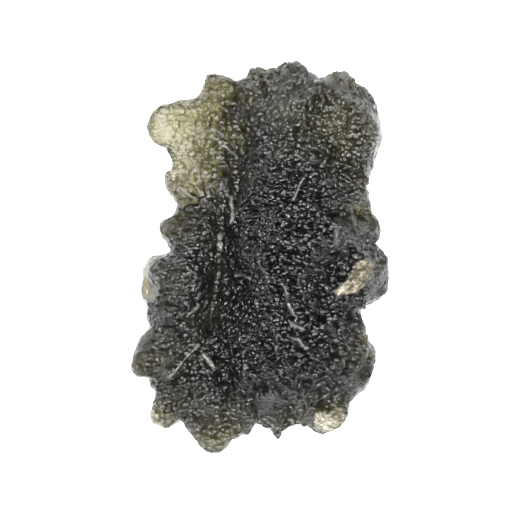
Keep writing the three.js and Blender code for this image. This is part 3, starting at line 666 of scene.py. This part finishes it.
def stone_mesh(node):
    values, corner = carved_form(node)
    grid = openvdb.FloatGrid()
    grid.background = BAND_MM
    grid.copyFromArray(values)
    grid.transform = openvdb.createLinearTransform(voxelSize=VOXEL_MM)
    points, _, quads = grid.convertToPolygons(isovalue=0, adaptivity=0)
    quads = largest_body(points, quads.astype(np.int64))
    used, quads = np.unique(quads, return_inverse=True)
    places = (points[used] + corner.astype(np.float32)) * MM

    mesh = bpy.data.meshes.new("moldavite_stone")
    mesh.from_pydata(places.tolist(), [], quads.reshape(-1, 4).tolist())
    mesh.update()
    return mesh


def thinned(piece):
    """Leaves at most MOST_TRIANGLES, with the small faces where the skin is most curved."""
    triangles = sum(len(face.vertices) - 2 for face in piece.data.polygons)
    if triangles <= MOST_TRIANGLES:
        return
    thin = piece.modifiers.new("thin", "DECIMATE")
    thin.ratio = MOST_TRIANGLES / triangles
    thin.use_collapse_triangulate = True
    depsgraph = bpy.context.evaluated_depsgraph_get()
    kept = bpy.data.meshes.new_from_object(piece.evaluated_get(depsgraph))
    piece.modifiers.remove(thin)
    whole = piece.data
    piece.data = kept
    bpy.data.meshes.remove(whole)


def mark_skin(mesh):
    """Stores on each point its share of tan chip, of the chip's streaks and its tone, of frosted
    skin, of khaki crust, of a long crest's painted highlight, and of cobbled skin."""
    count = len(mesh.vertices)
    places = np.empty(count * 3, np.float32)
    normals = np.empty(count * 3, np.float32)
    mesh.vertices.foreach_get("co", places)
    mesh.vertices.foreach_get("normal", normals)
    places = places.reshape(-1, 3) / MM
    normals = normals.reshape(-1, 3)
    x, y = places[:, 0], places[:, 1]
    face = np.clip((normals[:, 2] + CHIP_SIDE) * CHIP_SIDE_GAIN, 0, 1)
    crest = np.zeros(count, np.float32)
    # Each long crest's top gets a pale painted highlight, as strong as its paleness.
    crest_highlight = np.zeros(count, np.float32)
    for line, width, _, paleness in LONG_CRESTS:
        share = crest_share(x, y, line, width) * facing_up(normals)
        crest = np.maximum(crest, share)
        crest_highlight = np.maximum(crest_highlight, share * paleness)
    tone = np.full(count, 0.5, np.float32)
    for place_x, place_y, reach, change in CHIP_TONES:
        tone += nearness(x, y, place_x, place_y, reach) * change
    raised = etched_relief(places, normals) * FROST_PER_MM + FROST_LEVEL
    raised = np.clip(raised, FROST_LEAST, 1)
    upright = np.clip(COBBLE_ASIDE + normals[:, 2] * COBBLE_UPRIGHT, COBBLE_ASIDE, 1)
    marks = {
        "chip": chip_share(x, y) * face,
        "chip_streaks": (y > CHIP_STREAKS_ABOVE_Y).astype(np.float32),
        "chip_tone": tone,
        "frost": share_put(x, y, FROSTED_PLACES) * raised,
        "stain": share_put(x, y, STAINED_PLACES),
        "crest": crest_highlight,
        "cobble": share_left(x, y, PLAIN_PLACES) * (1 - crest) * upright,
    }
    for name, values in marks.items():
        mesh.attributes.new(name, "FLOAT", "POINT").data.foreach_set("value", values)


# ---------- Materials ----------

# The glass absorbs each colour by the density times one less the colour, per metre.
ABSORPTION_COLOUR = (0.44, 0.42, 0.27)
ABSORPTION_PER_METRE = 1280
GLASS_IOR = 1.49
CLEAR = (0.97, 0.97, 0.95)
KHAKI = (0.95, 0.92, 0.62)
OLIVE = (0.52, 0.49, 0.20)
# A painted highlight: the pale colour painted along each long crest's top.
CREST_HIGHLIGHT = (0.60, 0.60, 0.56)
# The shares of frost, crest and chip from which on the skin has all of their colour. The crest's
# colour is a painted highlight.
ALL_OLIVE_AT, ALL_CREST_HIGHLIGHT_AT, ALL_TAN_AT = 0.012, 0.06, 0.2
# The fine etching: cobbles and their flat tops as a share of the spacing, and a fine grain.
COBBLES_PER_MM, COBBLE_TOP_SHARE, COBBLE_FALL_MM, COBBLE_WARP_MM = 2.0, 0.20, 0.85, 0.24
GRAINS_PER_MM, GRAIN_SHARE = 5.5, 0.12
# The cobbles are a little longer across the stone than along it.
COBBLE_DRAW = (0.84, 1.14, 1.0)
COBBLE_WARPS_PER_MM = 1.5
# Most of a noise texture lies between these two values.
NOISE_LOW, NOISE_HIGH = 0.3, 0.7
NOISE_DETAIL = 4
# The glass is a little rougher in some places than in others.
GLASS_ROUGHNESS, ROUGH_PLACES_PER_MM = (0.28, 0.31), 1.4
CHIP_ROUGHNESS = 0.85
# The chip's streaks and grains, each with the change of tone that they bring.
STREAKS_PER_MM, STREAK_DRAW, STREAK_DEGREES, STREAK_TONE = 2.4, (5, 0.8, 1), 52, 0.42
CHIP_GRAINS_PER_MM, CHIP_GRAIN_TONE = 3.0, 0.3
CHIP_COLOURS = [
    (0.1, (0.045, 0.036, 0.022)), (0.45, (0.14, 0.122, 0.083)), (0.72, (0.225, 0.208, 0.153)),
    (1.0, (0.40, 0.385, 0.33)),
]


def new_material(name):
    material = bpy.data.materials.new(name)
    material.use_nodes = True
    nodes, links = material.node_tree.nodes, material.node_tree.links
    nodes.clear()
    output = nodes.new("ShaderNodeOutputMaterial")
    shader = nodes.new("ShaderNodeBsdfPrincipled")
    links.new(shader.outputs["BSDF"], output.inputs["Surface"])
    return material, nodes, links, shader, output


def noise_node(nodes, links, place, per_mm, detail=NOISE_DETAIL):
    noise = nodes.new("ShaderNodeTexNoise")
    noise.inputs["Scale"].default_value = per_mm / MM
    noise.inputs["Detail"].default_value = detail
    links.new(place, noise.inputs["Vector"])
    return noise.outputs["Fac"]


def attribute_node(nodes, name):
    attribute = nodes.new("ShaderNodeAttribute")
    attribute.attribute_name = name
    return attribute.outputs["Fac"]


def mapped(nodes, links, value, old_low, old_high, new_low, new_high):
    scaled = nodes.new("ShaderNodeMapRange")
    scaled.inputs["From Min"].default_value = old_low
    scaled.inputs["From Max"].default_value = old_high
    scaled.inputs["To Min"].default_value = new_low
    scaled.inputs["To Max"].default_value = new_high
    links.new(value, scaled.inputs["Value"])
    return scaled.outputs["Result"]


def calculated(nodes, links, operation, first, second):
    calculation = nodes.new("ShaderNodeMath")
    calculation.operation = operation
    for socket, value in zip(calculation.inputs, (first, second)):
        if isinstance(value, bpy.types.NodeSocket):
            links.new(value, socket)
        else:
            socket.default_value = value
    return calculation.outputs["Value"]


def colour_ramp(nodes, links, value, stops):
    ramp = nodes.new("ShaderNodeValToRGB")
    elements = ramp.color_ramp.elements
    while len(elements) < len(stops):
        elements.new(0.5)
    for element, (position, colour) in zip(elements, stops):
        element.position = position
        element.color = (*colour, 1)
    links.new(value, ramp.inputs["Fac"])
    return ramp.outputs["Color"]


def mixed_colour(nodes, links, share, first, second):
    mix = nodes.new("ShaderNodeMix")
    mix.data_type = "RGBA"
    links.new(share, mix.inputs["Factor"])
    # The mix node's colour sockets have the same names as its others, so they go by number.
    for socket, value in ((mix.inputs[6], first), (mix.inputs[7], second)):
        if isinstance(value, bpy.types.NodeSocket):
            links.new(value, socket)
        else:
            socket.default_value = (*value, 1)
    return mix.outputs[2]


def cobbled_height(nodes, links, place):
    """Height of the fine etching: flat-topped cobbles, and a fine grain on top of them."""
    warp = nodes.new("ShaderNodeTexNoise")
    warp.inputs["Scale"].default_value = COBBLE_WARPS_PER_MM / MM
    links.new(place, warp.inputs["Vector"])
    warped = nodes.new("ShaderNodeVectorMath")
    warped.operation = "MULTIPLY_ADD"
    warped.inputs[1].default_value = (COBBLE_WARP_MM * MM,) * 3
    links.new(warp.outputs["Color"], warped.inputs[0])
    drawn = nodes.new("ShaderNodeMapping")
    drawn.inputs["Scale"].default_value = COBBLE_DRAW
    links.new(place, drawn.inputs["Vector"])
    links.new(drawn.outputs["Vector"], warped.inputs[2])
    cells = nodes.new("ShaderNodeTexVoronoi")
    cells.feature = "F1"
    cells.inputs["Scale"].default_value = COBBLES_PER_MM / MM
    links.new(warped.outputs["Vector"], cells.inputs["Vector"])
    beyond = calculated(nodes, links, "SUBTRACT", cells.outputs["Distance"], COBBLE_TOP_SHARE)
    beyond = calculated(nodes, links, "MAXIMUM", beyond, 0.0)
    fall = calculated(nodes, links, "MULTIPLY", beyond, beyond)
    fall = calculated(nodes, links, "MULTIPLY", fall, attribute_node(nodes, "cobble"))
    grain = noise_node(nodes, links, place, GRAINS_PER_MM, detail=2)
    grain = calculated(nodes, links, "MULTIPLY", grain, GRAIN_SHARE)
    return calculated(nodes, links, "SUBTRACT", grain, fall)


def tektite_glass():
    """Bottle-green glass with an etched skin, and rough tan stone on the chips."""
    material, nodes, links, shader, output = new_material("tektite_glass")
    place = nodes.new("ShaderNodeTexCoord").outputs["Object"]
    chip = attribute_node(nodes, "chip")
    frost = attribute_node(nodes, "frost")
    crest = attribute_node(nodes, "crest")

    etched = noise_node(nodes, links, place, ROUGH_PLACES_PER_MM)
    glass_roughness = mapped(nodes, links, etched, NOISE_LOW, NOISE_HIGH, *GLASS_ROUGHNESS)
    roughness = nodes.new("ShaderNodeMix")
    links.new(chip, roughness.inputs["Factor"])
    links.new(glass_roughness, roughness.inputs["A"])
    roughness.inputs["B"].default_value = CHIP_ROUGHNESS
    links.new(roughness.outputs["Result"], shader.inputs["Roughness"])

    # The chips' tan is granular, and streaked along the longer chip.
    streaks = nodes.new("ShaderNodeMapping")
    streaks.vector_type = "TEXTURE"
    streaks.inputs["Rotation"].default_value = (0, 0, math.radians(STREAK_DEGREES))
    streaks.inputs["Scale"].default_value = STREAK_DRAW
    links.new(place, streaks.inputs["Vector"])
    streaked = noise_node(nodes, links, streaks.outputs["Vector"], STREAKS_PER_MM)
    streaked = mapped(nodes, links, streaked, NOISE_LOW, NOISE_HIGH, -STREAK_TONE, STREAK_TONE)
    streaked = calculated(nodes, links, "MULTIPLY", streaked, attribute_node(nodes, "chip_streaks"))
    grainy = noise_node(nodes, links, place, CHIP_GRAINS_PER_MM)
    grainy = mapped(nodes, links, grainy, NOISE_LOW, NOISE_HIGH, -CHIP_GRAIN_TONE, CHIP_GRAIN_TONE)
    tone = calculated(nodes, links, "ADD", attribute_node(nodes, "chip_tone"), streaked)
    tone = calculated(nodes, links, "ADD", tone, grainy)
    tan = colour_ramp(nodes, links, tone, CHIP_COLOURS)

    skin = mixed_colour(nodes, links, attribute_node(nodes, "stain"), CLEAR, KHAKI)
    # The crest colour is a painted highlight along each long crest's top.
    for share, all_at, colour in (
        (frost, ALL_OLIVE_AT, OLIVE), (crest, ALL_CREST_HIGHLIGHT_AT, CREST_HIGHLIGHT), (chip, ALL_TAN_AT, tan),
    ):
        coloured = mapped(nodes, links, share, 0, all_at, 0, 1)
        skin = mixed_colour(nodes, links, coloured, skin, colour)
    links.new(skin, shader.inputs["Base Color"])

    solid = calculated(nodes, links, "MAXIMUM", frost, crest)
    solid = calculated(nodes, links, "MAXIMUM", chip, solid)
    clear = calculated(nodes, links, "SUBTRACT", 1.0, solid)
    links.new(clear, shader.inputs["Transmission Weight"])
    shader.inputs["IOR"].default_value = GLASS_IOR

    bump = nodes.new("ShaderNodeBump")
    bump.inputs["Strength"].default_value = 1.0
    bump.inputs["Distance"].default_value = COBBLE_FALL_MM * MM
    links.new(cobbled_height(nodes, links, place), bump.inputs["Height"])
    links.new(bump.outputs["Normal"], shader.inputs["Normal"])

    absorption = nodes.new("ShaderNodeVolumeAbsorption")
    absorption.inputs["Color"].default_value = (*ABSORPTION_COLOUR, 1)
    absorption.inputs["Density"].default_value = ABSORPTION_PER_METRE
    links.new(absorption.outputs["Volume"], output.inputs["Volume"])
    return material


def white_paper():
    material, _, _, shader, _ = new_material("white_paper")
    shader.inputs["Base Color"].default_value = (*PAPER_COLOUR, 1)
    shader.inputs["Roughness"].default_value = PAPER_ROUGHNESS
    shader.inputs["Emission Color"].default_value = (1, 1, 1, 1)
    shader.inputs["Emission Strength"].default_value = PAPER_GLOW
    return material


# ---------- The studio ----------

# The picture is 51.2 mm wide at the stone's middle height, and the stone's middle lies a little
# to the right of and below the picture's middle.
VIEW_WIDTH = 51.2 * MM
LENS_MM, SENSOR_MM = 100.0, 36.0
AIM_X, AIM_Y = -0.4 * MM, 0.35 * MM
# In metres.
NEAREST_SEEN, FARTHEST_SEEN = 0.01, 20

# The white paper on which the stone lies, just under it so that the two don't touch.
FLOOR_HALF, FLOOR_DROP = 0.32, 0.05 * MM
PAPER_COLOUR, PAPER_ROUGHNESS, PAPER_GLOW = (0.88, 0.88, 0.88), 0.9, 0.25

# Azimuth from +X and elevation in degrees, width and depth in metres, and radiance.
SOFTBOXES = [
    (90, 89.9, 0.24, 0.24, 20.5), (92, 48, 0.14, 0.09, 10), (185, 46, 0.10, 0.05, 2.5),
    (320, 28, 0.12, 0.05, 4),
]
SOFTBOX_DISTANCE = 0.30
# What lights the stone from everywhere else. The camera itself sees white there.
DIM_COLOUR, DIM_STRENGTH = (0.95, 0.97, 1), 0.06


def make_camera():
    middle_height = (cad_low.z + cad_high.z) / 2
    camera_data = bpy.data.cameras.new("camera")
    camera_data.lens = LENS_MM
    camera_data.sensor_width = SENSOR_MM
    camera_data.clip_start = NEAREST_SEEN
    camera_data.clip_end = FARTHEST_SEEN
    camera = bpy.data.objects.new("camera", camera_data)
    camera.location = (AIM_X, AIM_Y, middle_height + VIEW_WIDTH * LENS_MM / SENSOR_MM)
    bpy.context.scene.collection.objects.link(camera)
    bpy.context.scene.camera = camera


def make_floor():
    mesh = bpy.data.meshes.new("studio_floor")
    corners = [
        (side_x * FLOOR_HALF, side_y * FLOOR_HALF, -FLOOR_DROP)
        for side_x, side_y in ((-1, -1), (1, -1), (1, 1), (-1, 1))
    ]
    mesh.from_pydata(corners, [], [(0, 1, 2, 3)])
    mesh.materials.append(white_paper())
    floor = bpy.data.objects.new("studio_floor", mesh)
    bpy.context.scene.collection.objects.link(floor)


def make_softbox(name, azimuth, elevation, width, depth, radiance):
    """A soft panel aimed at the stone. Azimuth is counted from +X, both angles in degrees."""
    direction = Vector((
        math.cos(math.radians(azimuth)) * math.cos(math.radians(elevation)),
        math.sin(math.radians(azimuth)) * math.cos(math.radians(elevation)),
        math.sin(math.radians(elevation)),
    ))
    light_data = bpy.data.lights.new(name, "AREA")
    light_data.shape = "RECTANGLE"
    light_data.size = width
    light_data.size_y = depth
    light_data.energy = radiance * math.pi * width * depth
    light = bpy.data.objects.new(name, light_data)
    light.location = direction * SOFTBOX_DISTANCE
    light.rotation_mode = "QUATERNION"
    light.rotation_quaternion = direction.to_track_quat("Z", "Y")
    bpy.context.scene.collection.objects.link(light)


def make_lights():
    for number, (azimuth, elevation, width, depth, radiance) in enumerate(SOFTBOXES):
        make_softbox(f"softbox_{number}", azimuth, elevation, width, depth, radiance)


def make_world():
    world = bpy.data.worlds.new("studio")
    world.use_nodes = True
    nodes, links = world.node_tree.nodes, world.node_tree.links
    nodes.clear()
    output = nodes.new("ShaderNodeOutputWorld")
    dim = nodes.new("ShaderNodeBackground")
    dim.inputs["Color"].default_value = (*DIM_COLOUR, 1)
    dim.inputs["Strength"].default_value = DIM_STRENGTH
    pale = nodes.new("ShaderNodeBackground")
    pale.inputs["Color"].default_value = (1, 1, 1, 1)
    pale.inputs["Strength"].default_value = 1
    seen = nodes.new("ShaderNodeLightPath")
    mix = nodes.new("ShaderNodeMixShader")
    links.new(seen.outputs["Is Camera Ray"], mix.inputs["Fac"])
    links.new(dim.outputs["Background"], mix.inputs[1])
    links.new(pale.outputs["Background"], mix.inputs[2])
    links.new(mix.outputs["Shader"], output.inputs["Surface"])
    bpy.context.scene.world = world


def make_stone():
    mesh = stone_mesh(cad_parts["moldavite"])
    stone = bpy.data.objects.new("moldavite_stone", mesh)
    bpy.context.scene.collection.objects.link(stone)
    thinned(stone)
    mark_skin(stone.data)
    stone.data.materials.append(tektite_glass())
    stone.data.shade_smooth()
    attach(stone, "root")
    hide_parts("moldavite")


make_camera()
make_floor()
make_lights()
make_world()
make_stone()
bpy.context.scene.view_settings.view_transform = "Standard"
